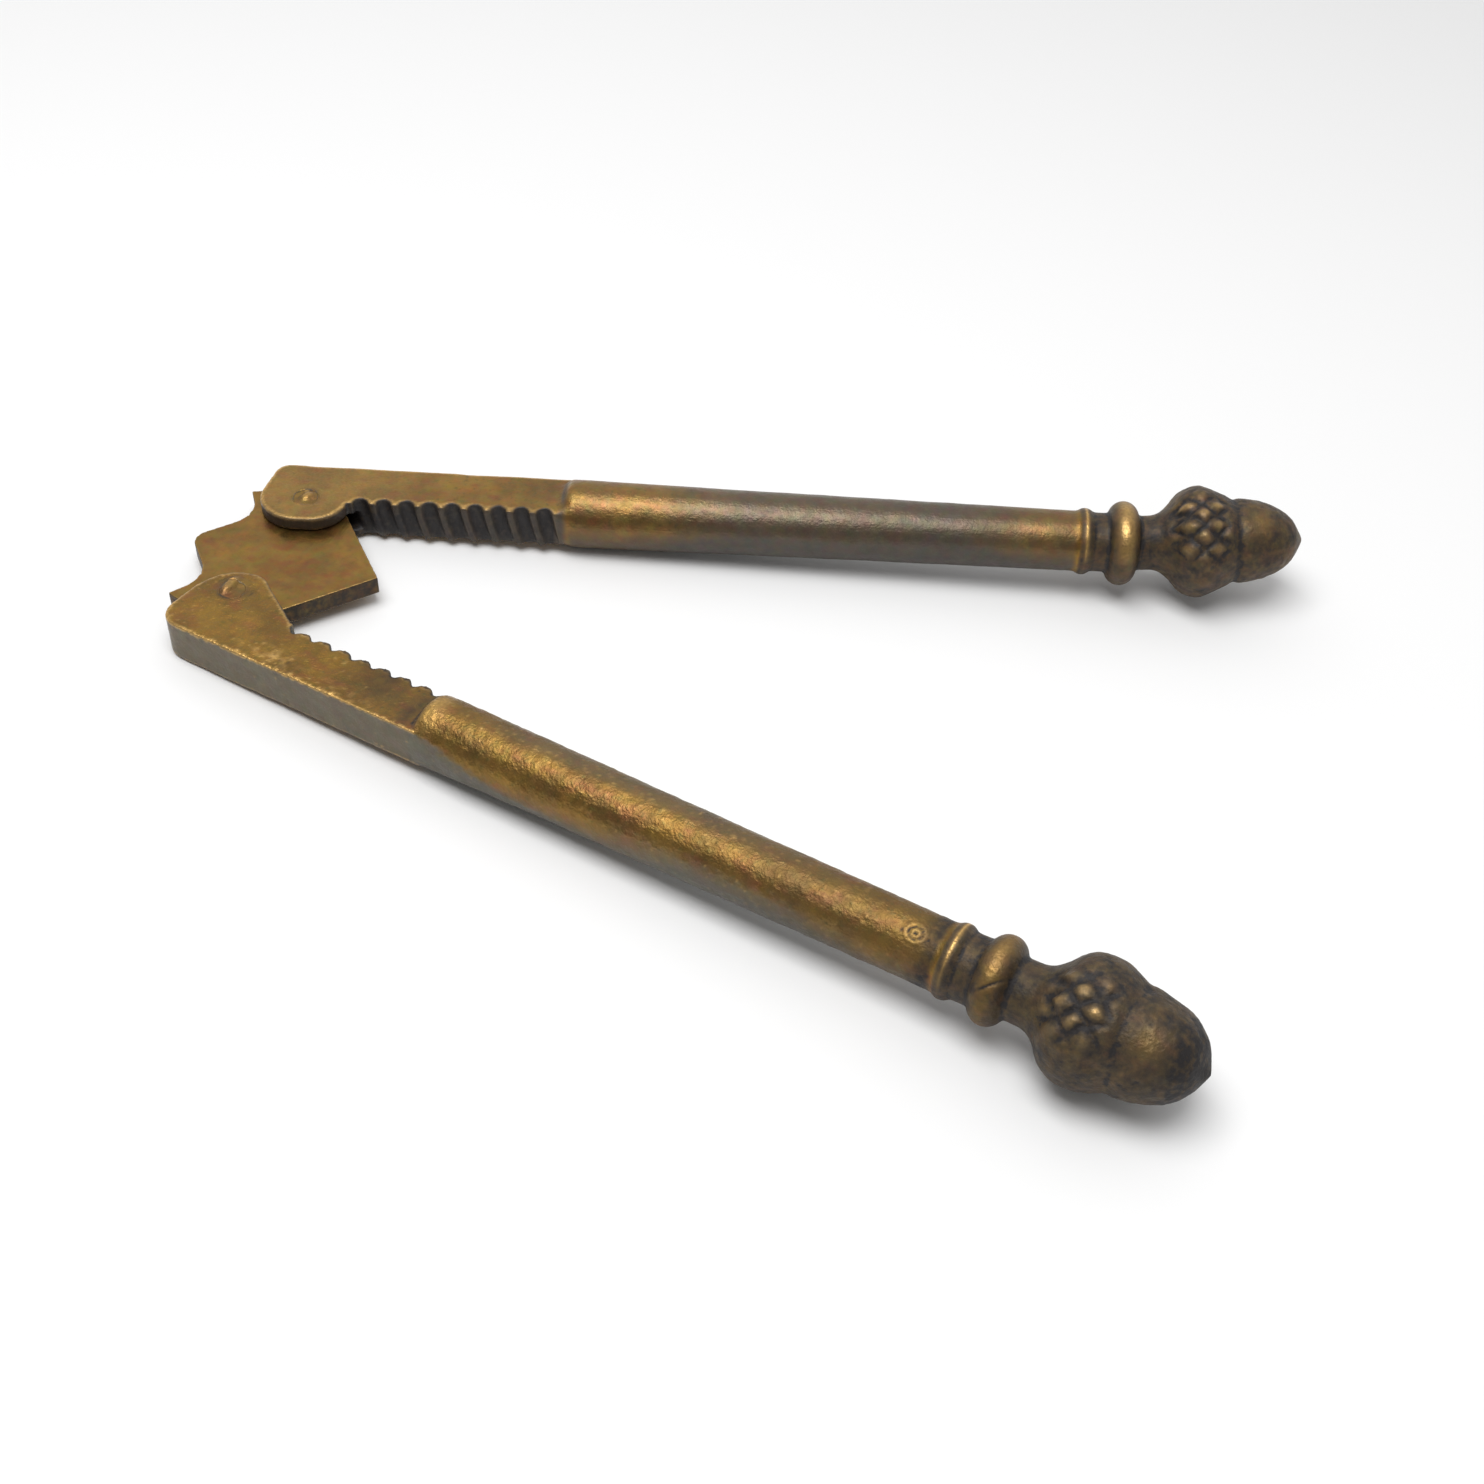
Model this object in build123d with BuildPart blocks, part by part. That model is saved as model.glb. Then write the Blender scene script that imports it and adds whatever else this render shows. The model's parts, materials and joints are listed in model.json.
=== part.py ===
from build123d import *
import os
from math import asin, atan2, cos, degrees, hypot, radians, sin, tan
from types import SimpleNamespace

# Lever nutcracker: two cast brass arms, each riveted to one flat hinge link. The arms swing
# on their own pins, and their grooved jaws face each other across the space for the nut.
#
# Millimetres. The pieces are made with the origin midway between the hinge pins, +X towards
# the acorn ends, +Y to the rear arm and +Z up, in the rest pose. The last step moves them all
# so that the origin is the middle of the whole nutcracker's bounding box.
#
# Each arm is made in its own local frame: origin on its pin, x along the arm to the acorn,
# y outward, away from the other arm. The front arm is the same kind of casting turned over.

# ---- hinge -------------------------------------------------------------------------------
pin_spacing = 23.0            # between the hinge pins
pin_r = 1.6
pin_play = 0.05               # radial clearance of a pin in the link
pin_recess = 0.05             # pin ends below the flats of the head
flare_gap = 0.25              # rim of a peened end to the rim of its dimple
button_r = 0.8                # small raised middle of a peened end
button_step = 0.1
button_rise = (-0.2, 1)       # direction of the button's side where it starts
link_thickness = 2.8
slot_width = 2.9              # the sawn slot in each head that takes the link
slot_z = -0.5                 # middle of the slot, a little below the middle of the head

# ---- hinge link --------------------------------------------------------------------------
link_nose_x = 16.9            # square corner towards the nut
link_tail_x = -13.1           # corner behind the pins, before it is rounded
link_tail_round = 2.4
link_notch = (-6.85, 7.3)     # deepest point between the tail and a horn
horn_bend = (-8.2, 10.3)
horn_tip = (-9.9, 12.8)
ear_r = 5.0                   # round end over each pin

# ---- both arms ---------------------------------------------------------------------------
head_thickness = 6.35         # flat head and jaw
bar_outer = 4.5               # flat outer face of the jaw bar, from the shank's axis
groove_pitch = 3.45
groove_r = 1.2
dimple_r = 2.3                # shallow sink round the pin's ends
dimple_angle = 130.0
slot_floor = 6.7              # slot depth outward of the pin
slot_end_gap = 0.5            # slot end to link edge with the arms closed
slot_behind = 20.0            # the cut for the slot starts this far behind the pin
slot_inward = 12.0            # and this far inward of it, clear of the head
horn_gap = 0.35               # slot floor to the link's horn with the arms wide open
shoulder_x = 38.6             # where the round shank starts
shoulder_round = 1.1
shank_r_at_shoulder = 5.2
shank_middle_x = 80.0
shank_r_at_middle = 4.8
shank_r_at_ring = 4.58
ring_x = 116.8                # thin bead round the shank
ring_r = 5.05
ring_half_width = 1.15
torus_x = 122.5               # thick moulding
torus_half_width = 2.2
cove_r = 4.45                 # between the ring and the torus
neck_x = 126.6
neck_r = 4.1
cup_x = 134.2                 # widest place of the acorn's cup
cup_r = 8.5
rim_x = 138.7                 # the nut comes out of the cup here
tip_x = 150.0                 # point of the nut
bell = (3.3, 2.2)             # point between neck and cup, beyond the neck and out from it
lip = (1.7, 0.9)              # point of the cup's lip, before the rim and out from it
nut_side = (4.3, 0.5)         # point on the nut's side, beyond the rim and in from it
nut_taper = (8.8, 0.58)       # point beyond the rim, with its share of the nut's radius there
nut_start = (1, 0.04)         # direction of the nut's outline at the rim
nut_end = (0.6, -1)           # and at its point
caps_gap = 0.3                # between the two cups with the arms closed

# ---- what differs between the arms: each was filed, drilled and finished by hand ----------
REAR = SimpleNamespace(
    side=1,
    rest_angle=14.1,
    pin_inset=3.6,            # pin inward of the shank's axis
    jaw_depth=4.5,            # grooved face inward of the shank's axis
    crown_x=-5.6,             # outer corner of the head
    crown_round=2.3,
    heel=(-7.0, 0.6),         # inner end of the head's end face
    heel_arc=(-5.1, -3.6),
    lobe=(0.3, -5.4),         # lowest point of the round lobe over the pin
    lobe_arc=(4.6, -4.1),
    lobe_end=(6.3, -0.9),
    flank_end=(6.4, -0.7),
    first_groove=8.3,
    grooves=9,
    torus_r=6.35,
    nut_r=6.5,
    finial_lean=4.4,          # the acorn is bent off the arm's axis
)
FRONT = SimpleNamespace(
    side=-1,
    rest_angle=12.8,
    pin_inset=5.8,
    jaw_depth=4.2,
    crown_x=-5.6,
    crown_round=3.6,
    heel=(-5.2, 2.4),
    heel_arc=(-3.4, -2.5),
    lobe=(0.5, -4.7),
    lobe_arc=(2.3, -4.4),
    lobe_end=(3.7, -3.6),
    flank_end=(12.3, 1.5),
    first_groove=13.2,
    grooves=8,
    torus_r=5.9,
    nut_r=7.15,
    finial_lean=0.0,
)
lean_direction = 47.0         # of the lean, from outward towards the local z axis


def arm_plane(arm):
    """The arm's local frame at rest."""
    angle = radians(arm.rest_angle)
    return Plane(
        origin=(0, arm.side * pin_spacing / 2, 0),
        x_dir=(cos(angle), arm.side * sin(angle), 0),
        z_dir=(0, 0, arm.side),
    )


def widest_angle():
    """An arm's angle from +X when the floor of its slot almost reaches the link's horn."""
    horn = (horn_tip[0], horn_tip[1] - pin_spacing / 2)
    bearing = degrees(atan2(horn[1], horn[0]))
    return bearing - 180 + degrees(asin((slot_floor - horn_gap) / hypot(*horn)))


def closed_angle(arm):
    """The arm's angle from +X when its acorn cup almost reaches the other one."""
    reach = hypot(cup_x, arm.pin_inset)
    bearing = degrees(atan2(arm.pin_inset, cup_x))
    height = cup_r + caps_gap / 2 - pin_spacing / 2
    return degrees(asin(height / reach)) - bearing


def tangent_angle(point, centre, radius, turn):
    """Direction from a point to where it touches a circle, left (1) or right (-1) of centre."""
    dx, dy = centre[0] - point[0], centre[1] - point[1]
    return degrees(atan2(dy, dx) + turn * asin(radius / hypot(dx, dy)))


def head_sketch(arm):
    """Flat head, lobe and jaw bar, in the arm's local frame."""
    outer = arm.pin_inset + bar_outer
    jaw = arm.pin_inset - arm.jaw_depth
    bar_end = shoulder_x + shoulder_round
    with BuildSketch(mode=Mode.PRIVATE) as outline:
        with BuildLine():
            Polyline((bar_end, jaw), (bar_end, outer), (arm.crown_x, outer), arm.heel)
            ThreePointArc(arm.heel, arm.heel_arc, arm.lobe)
            ThreePointArc(arm.lobe, arm.lobe_arc, arm.lobe_end)
            Polyline(arm.lobe_end, arm.flank_end, (arm.flank_end[0], jaw), (bar_end, jaw))
        make_face()
        fillet(outline.vertices().sort_by_distance((arm.crown_x, outer, 0))[0], arm.crown_round)
        with Locations(*[(arm.first_groove + k * groove_pitch, jaw) for k in range(arm.grooves)]):
            Circle(groove_r, mode=Mode.SUBTRACT)
    return outline.sketch


def slot_sketch(arm):
    """The slot: open at the head's end and inward, its end parallel to the link's edge."""
    nose = (link_nose_x, 0)
    edge_angle = tangent_angle(nose, (0, pin_spacing / 2), ear_r, -1)
    end_angle = edge_angle - closed_angle(arm)
    normal = (cos(radians(end_angle - 90)), sin(radians(end_angle - 90)))
    distance = ear_r + slot_end_gap

    def end_point(y):
        return ((distance - y * normal[1]) / normal[0], y)

    with BuildSketch(mode=Mode.PRIVATE) as slot:
        with BuildLine():
            Polyline(
                (-slot_behind, slot_floor),
                end_point(slot_floor),
                end_point(-slot_inward),
                (-slot_behind, -slot_inward),
                close=True,
            )
        make_face()
    return slot.sketch


def make_arm(arm):
    """One casting: forked head, grooved jaw, tapered shank, ring, torus and acorn."""
    plane = arm_plane(arm)
    inset = arm.pin_inset
    axis = Axis(plane.from_local_coords((0, inset, 0)), plane.x_dir)
    with BuildPart() as casting:
        with BuildSketch(plane.offset(-head_thickness / 2)):
            add(head_sketch(arm))
        extrude(amount=head_thickness)

        # shank, ring and torus, round the arm's axis
        ring_left, ring_right = ring_x - ring_half_width, ring_x + ring_half_width
        torus_left, torus_right = torus_x - torus_half_width, torus_x + torus_half_width
        with BuildSketch(plane):
            with BuildLine():
                Polyline(
                    (torus_right, inset + neck_r),
                    (torus_right, inset),
                    (shoulder_x, inset),
                    (shoulder_x, inset + shank_r_at_shoulder - shoulder_round),
                )
                RadiusArc(
                    (shoulder_x, inset + shank_r_at_shoulder - shoulder_round),
                    (shoulder_x + shoulder_round, inset + shank_r_at_shoulder),
                    shoulder_round,
                )
                ThreePointArc(
                    (shoulder_x + shoulder_round, inset + shank_r_at_shoulder),
                    (shank_middle_x, inset + shank_r_at_middle),
                    (ring_left, inset + shank_r_at_ring),
                )
                ThreePointArc(
                    (ring_left, inset + shank_r_at_ring),
                    (ring_x, inset + ring_r),
                    (ring_right, inset + cove_r),
                )
                Line((ring_right, inset + cove_r), (torus_left, inset + cove_r))
                ThreePointArc(
                    (torus_left, inset + cove_r),
                    (torus_x, inset + arm.torus_r),
                    (torus_right, inset + neck_r),
                )
            make_face()
        revolve(axis=axis)

        # neck and acorn, round an axis that may lean away from the arm's
        outward, up = plane.y_dir, plane.z_dir
        lean = outward * cos(radians(lean_direction)) + up * sin(radians(lean_direction))
        angle = radians(arm.finial_lean)
        finial_x = plane.x_dir * cos(angle) + lean * sin(angle)
        finial_plane = Plane(
            origin=plane.from_local_coords((torus_x, inset, 0)),
            x_dir=finial_x,
            z_dir=up - finial_x * up.dot(finial_x),
        )
        neck, cup, rim, tip = (x - torus_x for x in (neck_x, cup_x, rim_x, tip_x))
        with BuildSketch(finial_plane):
            with BuildLine():
                Polyline((tip, 0), (0, 0), (0, neck_r), (neck, neck_r))
                Spline(
                    (neck, neck_r),
                    (neck + bell[0], neck_r + bell[1]),
                    (cup, cup_r),
                    tangents=((1, 0), (1, 0)),
                )
                ThreePointArc((cup, cup_r), (rim - lip[0], arm.nut_r + lip[1]), (rim, arm.nut_r))
                Spline(
                    (rim, arm.nut_r),
                    (rim + nut_side[0], arm.nut_r - nut_side[1]),
                    (rim + nut_taper[0], arm.nut_r * nut_taper[1]),
                    (tip, 0),
                    tangents=(nut_start, nut_end),
                )
            make_face()
        revolve(axis=Axis(finial_plane.origin, finial_plane.x_dir))

        with BuildSketch(plane.offset(arm.side * slot_z - slot_width / 2)):
            add(slot_sketch(arm))
        extrude(amount=slot_width, mode=Mode.SUBTRACT)

        underside = Plane(origin=plane.origin, x_dir=plane.x_dir, z_dir=-plane.z_dir)
        for face in (plane, underside):
            with Locations(face.offset(head_thickness / 2)):
                CounterSinkHole(pin_r, dimple_r, head_thickness / 2, dimple_angle)
    return casting


def make_pin(arm):
    """A rivet: a straight shaft with both ends peened out into the head's dimples."""
    dimple_depth = (dimple_r - pin_r) / tan(radians(dimple_angle / 2))
    flare_z = head_thickness / 2 - dimple_depth
    flare_r = dimple_r - flare_gap
    rim_z = flare_z + dimple_depth * (flare_r - pin_r) / (dimple_r - pin_r)
    button_z = flare_z + button_step
    end_z = head_thickness / 2 - pin_recess
    centre = arm_plane(arm).origin
    with BuildPart() as pin:
        with BuildSketch(Plane(origin=centre, x_dir=(1, 0, 0), z_dir=(0, -1, 0))):
            with BuildLine():
                Polyline((0, 0), (pin_r, 0), (pin_r, flare_z), (flare_r, rim_z), (button_r, button_z))
                Spline((button_r, button_z), (0, end_z), tangents=(button_rise, (-1, 0)))
                Line((0, end_z), (0, 0))
            make_face()
            mirror(about=Plane.XZ)
        revolve(axis=Axis(centre, (0, 0, 1)))
    return pin


rear_arm = make_arm(REAR)
front_arm = make_arm(FRONT)
rear_pin = make_pin(REAR)
front_pin = make_pin(FRONT)

# ---- hinge link: a square plate set cornerwise, with an ear and a horn at each pin ---------
with BuildPart() as hinge_link:
    pin_at = (0, pin_spacing / 2)
    nose = (link_nose_x, 0)
    nose_angle = tangent_angle(nose, pin_at, ear_r, -1)
    horn_angle = tangent_angle(horn_tip, pin_at, ear_r, 1)
    with BuildSketch(Plane.XY.offset(slot_z - link_thickness / 2)):
        with BuildLine():
            ear_start = Vector(*pin_at) + Vector(ear_r, 0).rotate(Axis.Z, nose_angle - 90)
            ear_end = Vector(*pin_at) + Vector(ear_r, 0).rotate(Axis.Z, horn_angle + 90)
            Line(nose, ear_start)
            ThreePointArc(ear_start, Vector(*pin_at) + Vector(0, ear_r), ear_end)
            Line(ear_end, horn_tip)
            Polyline(horn_tip, horn_bend, link_notch, (link_tail_x, 0), nose)
        make_face()
        mirror(about=Plane.XZ)
    extrude(amount=link_thickness)
    with Locations(Plane.XY.offset(slot_z + link_thickness / 2)):
        with GridLocations(0, pin_spacing, 1, 2):
            Hole(pin_r + pin_play)
    fillet(hinge_link.edges().filter_by(Axis.Z).sort_by(Axis.X)[0], link_tail_round)

pieces = {
    "rear_arm": rear_arm,
    "front_arm": front_arm,
    "rear_pin": rear_pin,
    "front_pin": front_pin,
    "hinge_link": hinge_link,
}
middle = Compound([piece.part for piece in pieces.values()]).bounding_box().center()

os.makedirs("parts", exist_ok=True)
for name, piece in pieces.items():
    piece.part.move(Location(-middle))
    piece.part.label = name
    export_step(piece.part, f"parts/{name}.step")

for name, arm in (("rear", REAR), ("front", FRONT)):
    hinge = arm_plane(arm).origin - middle
    print(f"{name} hinge at {hinge.X:.4f} {hinge.Y:.4f} {hinge.Z:.4f}, travel "
          f"{closed_angle(arm) - arm.rest_angle:.2f} to {widest_angle() - arm.rest_angle:.2f}")
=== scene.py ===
import json
from math import cos, pi, radians, sin
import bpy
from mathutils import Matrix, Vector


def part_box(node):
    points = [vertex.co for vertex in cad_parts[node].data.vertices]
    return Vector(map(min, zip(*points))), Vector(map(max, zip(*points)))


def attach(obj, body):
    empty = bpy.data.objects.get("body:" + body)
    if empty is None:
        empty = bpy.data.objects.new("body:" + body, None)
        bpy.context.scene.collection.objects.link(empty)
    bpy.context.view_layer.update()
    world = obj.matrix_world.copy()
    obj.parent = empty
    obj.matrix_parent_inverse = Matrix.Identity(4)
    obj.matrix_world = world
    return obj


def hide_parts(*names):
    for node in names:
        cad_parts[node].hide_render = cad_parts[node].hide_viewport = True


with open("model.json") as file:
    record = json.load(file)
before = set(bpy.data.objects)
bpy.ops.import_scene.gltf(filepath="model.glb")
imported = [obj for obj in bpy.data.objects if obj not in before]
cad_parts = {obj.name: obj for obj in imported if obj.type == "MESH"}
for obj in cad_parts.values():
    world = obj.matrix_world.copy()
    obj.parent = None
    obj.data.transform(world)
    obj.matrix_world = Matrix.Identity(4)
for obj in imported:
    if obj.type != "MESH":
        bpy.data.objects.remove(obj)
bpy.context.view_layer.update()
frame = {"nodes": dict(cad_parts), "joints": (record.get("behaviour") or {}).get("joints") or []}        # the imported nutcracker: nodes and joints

from types import SimpleNamespace

import bpy
import numpy as np
from mathutils import Matrix, Vector

# Looks of an old lever nutcracker in aged cast brass. Blender's units are metres. Each piece is
# shaped in millimetres in its own axes: origin on its hinge, x along the arm to the acorn,
# y outward and z square to both, as the arms were drawn.
MM = 0.001

# ---- camera: looks down on the hinge side from the front ----------------------------------
CAMERA_AT = (0.06397, -0.20049, 0.18432)
CAMERA_AZIMUTH = 16.108
CAMERA_ELEVATION = 43.788
CAMERA_ROLL = 1.892
CAMERA_LENS = 48.337          # on a 36 mm sensor

# ---- light, in metres and watts -----------------------------------------------------------
LIGHT_AT = (-0.04, -0.11, 0.6)
LIGHT_SIZE = (0.5, 0.35)
LIGHT_POWER = 3.2
SURROUND = (0.22, 0.85)       # brightness of the studio towards the camera and behind
FLOOR_HALF = 3.0

# ---- places along both arms ---------------------------------------------------------------
SHOULDER_X = 38.6             # flat head and jaw end here, round shank starts
RING_X = 116.8
TORUS_X = 122.5
CUP_X = 134.2
RIM_X = 138.7
TIP_X = 150.0

# ---- the flat heads -----------------------------------------------------------------------
HEAD_HALF = 3.175             # half of the head's thickness
SLOT_MIDDLE = -0.5            # of the slot for the link, in the frame's z
SLOT_HALF = 1.6               # half of its width, and its reach along the arm and outward
SLOT_ALONG = 16.0             # of the pin, each with a small margin
SLOT_OUTWARD = 7.0
PIN_REACH = 2.9               # radius of the dimple and the hammered metal round it
DIMPLE_SINK = 0.02            # the filled dimple stays this far under the flat
PIN_SINK = 0.05               # and the rivet's end this far
FOOT_SHADE = 0.9               # height of a raised mark with full painted shadow at its foot, or depth of a hollow with full dirt
HOLLOW_DIRT = 0.3
GROOVE_PITCH = 3.45           # from one groove of the jaw to the next

# ---- stretches of the shank: where each starts, is full, fades and ends -------------------
DULL_MIDDLE = (48.0, 66.0, 96.0, 112.0)
UPPER_BAND = (42.0, 58.0, 80.0, 112.0)
LOW_GREY = (66.0, 82.0, 92.0, 108.0)
FAR_DARK = (70.0, 105.0)      # these rise to full and stay there
FAR_DULL = (84.0, 106.0)
END_DARK = (111.5, 114.8)
LOW_SIDE_FADE = (78.0, 45.0)  # these fall, the second one along the head
HEAD_FADE = (24.0, 6.0)

# ---- raised scales of the acorn cups ------------------------------------------------------
LEAN_DIRECTION = 47.0         # of the acorn's lean, from outward towards local z
SCALES_AROUND = 13
SCALE_ROW_X = 131.1           # middle of the first row
SCALE_ROW_PITCH = 2.35
SCALE_DEPTH = 0.65
SCALE_UNEVEN = 0.3            # some scales are worn lower than others
RIM_CUT_X = RIM_X + 0.4       # the cut line between cup and nut
RIM_CUT_WIDTH = 0.6

# ---- marks on the front arm only ----------------------------------------------------------
PUNCH_X = 112.0               # round punch mark of two plain rings near the end of the shank
PUNCH_TURN = -66.6
PUNCH_RINGS = (0.45, 1.25)    # radii
PUNCH_LINE = 0.25             # half width of each ring
PUNCH_HEIGHT = 0.10
NICK_X = TORUS_X + 0.4        # slanting nick across the torus
NICK_TURN = -39.0
NICK_SLANT = -9.0             # degrees round the torus for each millimetre along it
NICK_LENGTH = 1.3
NICK_WIDTH = 0.3
NICK_DEPTH = 0.18

# ---- casting skin -------------------------------------------------------------------------
PIT_SIZE = 2.2                # cells that may hold one large pit each
PIT_SHARE = 0.35
PIT_DEPTH = 0.09
ACORN_PITTING = 0.045
STAIN_DEPTH = 0.1

# ---- how far an edge stands out, or a hollow lies in, where its wear or dirt starts and is full
WORN_EDGE = (0.010, 0.030)
FINE_HOLLOW = (0.010, 0.040)
BROAD_HOLLOW = (0.04, 0.25)

# ---- hinge link ---------------------------------------------------------------------------
LINK_NOTCH = (-6.85, 7.3)     # deepest point between the link's tail and a horn
LINK_NOTCH_SIZE = (1.4, 1.4)
LINK_NOTCH_FILL = 0.7

# ---- sizes of the working meshes' cells ---------------------------------------------------
ARM_VOXEL = 0.27
LINK_VOXEL = 0.15
PIN_VOXEL = 0.1

# ---- what differs between the two arms ----------------------------------------------------
# The first two lines are as in the CAD. Turns are in degrees round the acorn's own axis.
# Pitting, lumps, tooth_slant, groove_fill (at the top and bottom), crest_widening and rim_cut
# are in millimetres. The rest are strengths, and scale_fade is the cosine of the turn from the
# middle of the patch of scales at which they are faintest. The nut's place, along the arm and as a
# turn, is where a highlight is painted on it. The torus's turn is its side that faces the light,
# where highlights are painted on the torus and ring; the torus's and the low edges' strengths
# dim the undersides as painted shade.
REAR = SimpleNamespace(
    name="rear_arm", joint="rear_hinge", body="rear_lever", side=1, rest_angle=14.1,
    pin_inset=3.6, jaw_depth=4.5, first_groove=8.3, grooves=9, finial_lean=4.4,
    seed=11, pitting=0.012, lumps=0.03, rough_head=0.5, shoulder_soft=1.0,
    tooth_wear=0.3, tooth_slant=1.3, groove_fill=(0.0, 0.55), crest_widening=0.0,
    scale_turn=123.0, scale_fade=0.70, rim_cut=0.25,
    pad_wear=0.7, highlight_turn=112.0, crest_highlight=0.9, nut_highlight=(142.3, 119.0), torus_under=0.9,
    head_bright=0.16, shoulder_highlight=0.0, low_edge=0.7,
    tip_dark=0.0, far_dark=0.12, end_dark=0.0,
    dull=0.25, dull_middle=0.6, dull_top=0.12, dull_far=0.12, torus_dull=0.45,
    upper_band=0.0, low_grey=0.0,
)
FRONT = SimpleNamespace(
    name="front_arm", joint="front_hinge", body="front_lever", side=-1, rest_angle=12.8,
    pin_inset=5.8, jaw_depth=4.2, first_groove=13.2, grooves=8, finial_lean=0.0,
    seed=23, pitting=0.04, lumps=0.05, rough_head=0.68, shoulder_soft=0.4,
    tooth_wear=1.0, tooth_slant=0.0, groove_fill=(0.12, 0.12), crest_widening=0.35,
    scale_turn=-59.0, scale_fade=0.78, rim_cut=0.1,
    pad_wear=0.62, highlight_turn=-95.0, crest_highlight=0.34, nut_highlight=(142.3, -54.0), torus_under=0.7,
    head_bright=0.05, shoulder_highlight=0.7, low_edge=0.85,
    tip_dark=0.5, far_dark=0.22, end_dark=0.8,
    dull=0.08, dull_middle=0.0, dull_top=0.0, dull_far=0.0, torus_dull=0.1,
    upper_band=0.4, low_grey=0.6,
)

# raised and sunken places on the upper end of each rivet, in the arm's own axes
REAR.rivet_marks = [
    SimpleNamespace(at=(0.2, 0.2), size=(1.15, 0.7), turn=50, height=0.42, pull=0.0),
    SimpleNamespace(at=(-0.1, 1.3), size=(0.6, 0.4), turn=120, height=0.12, pull=0.0),
    SimpleNamespace(at=(-1.1, -0.5), size=(1.0, 0.8), turn=0, height=-0.09, pull=0.0),
    SimpleNamespace(at=(1.4, -1.0), size=(1.0, 0.8), turn=0, height=-0.08, pull=0.0),
]
FRONT.rivet_marks = [
    SimpleNamespace(at=(-0.85, -0.55), size=(1.75, 0.78), turn=83, height=0.62, pull=0.45),
    SimpleNamespace(at=(1.6, -0.7), size=(1.5, 1.5), turn=0, height=-0.13, pull=0.0),
    SimpleNamespace(at=(-2.3, -0.4), size=(0.7, 1.4), turn=0, height=-0.10, pull=0.0),
]

# rough bright casting skin and dark stains on the upper flats: place and size along the arm
# and outward, and strength
REAR.bright_spots = []
REAR.stains = [
    ((35.5, 4.5), (3.5, 6.0), 0.35), ((30.0, 0.5), (4.0, 2.0), 0.2),
    ((-1.5, -2.0), (3.0, 2.0), 0.1),
]
FRONT.bright_spots = [((13.4, 8.2), (3.8, 1.5), 0.65), ((26.0, 9.0), (5.0, 1.0), 0.3)]
FRONT.stains = [
    ((36.8, 6.2), (1.5, 3.6), 0.8), ((31.0, 6.4), (6.0, 4.0), 0.6), ((1.8, 0.4), (1.3, 1.6), 0.3),
    ((32.0, 2.8), (6.0, 1.3), 0.4), ((22.0, 2.4), (5.0, 0.9), 0.3),
]


# ---- soft steps and bumps -----------------------------------------------------------------
def ramp(x, low, high):
    """0 below low, 1 above high, smooth between them; falling if low is above high."""
    t = np.clip((x - low) / (high - low), 0, 1)
    return t * t * (3 - 2 * t)


def band(x, start, full, fade, end):
    """1 from full to fade, 0 before the start and after the end."""
    return ramp(x, start, full) * ramp(x, end, fade)


def bump(x, at, width):
    """1 at a place, falling off smoothly to 0 at about twice the width."""
    return np.exp(-((x - at) / width) ** 2)


def spot(x, y, at, size):
    """A bump in two directions at once."""
    return bump(x, at[0], size[0]) * bump(y, at[1], size[1])


def spots(x, y, places):
    """All the places' spots together, each at its own strength."""
    return sum(strength * spot(x, y, at, size) for at, size, strength in places)


# ---- seeded noise -------------------------------------------------------------------------
CELL_SHIFT = 1000             # keeps the numbers of all cells above 0


def lattice(cell, seed):
    """A repeatable random number from 0 to 1 for each whole-numbered cell."""
    x, y, z = (cell[..., k].astype(np.uint64) for k in range(3))
    h = x * np.uint64(73856093) ^ y * np.uint64(19349663) ^ z * np.uint64(83492791)
    h = (h + np.uint64(seed * 7919 + 1)) * np.uint64(2654435761) & np.uint64(0xFFFFFFFF)
    h = (h ^ h >> np.uint64(15)) * np.uint64(2246822519) & np.uint64(0xFFFFFFFF)
    return (h ^ h >> np.uint64(13)).astype(float) / 0xFFFFFFFF


def noise(points, size, seed):
    """Smooth noise from -1 to 1, with lumps about `size` millimetres across."""
    grid = points / size + CELL_SHIFT
    cell = np.floor(grid).astype(int)
    f = grid - cell
    f = f * f * (3 - 2 * f)
    total = np.zeros(len(points))
    for corner in np.ndindex(2, 2, 2):
        weight = np.prod(np.where(corner, f, 1 - f), axis=1)
        total += weight * lattice(cell + corner, seed)
    return 2 * total - 1


def pits(points, size, seed, share):
    """Rounded pits, 0 between them and 1 at their bottoms. A share of the cells has one."""
    grid = points / size + CELL_SHIFT
    cell = np.floor(grid).astype(int)
    depth = np.zeros(len(points))
    for step in np.ndindex(3, 3, 3):
        near = cell + step - 1
        offset = np.stack([lattice(near, seed + k) for k in range(3)], axis=1)
        radius = 0.25 + 0.35 * lattice(near, seed + 3)
        distance = np.linalg.norm(near + offset - grid, axis=1) / radius
        there = lattice(near, seed + 4) < share
        depth = np.maximum(depth, np.where(there, np.clip(1 - distance**2, 0, 1), 0))
    return depth


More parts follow.
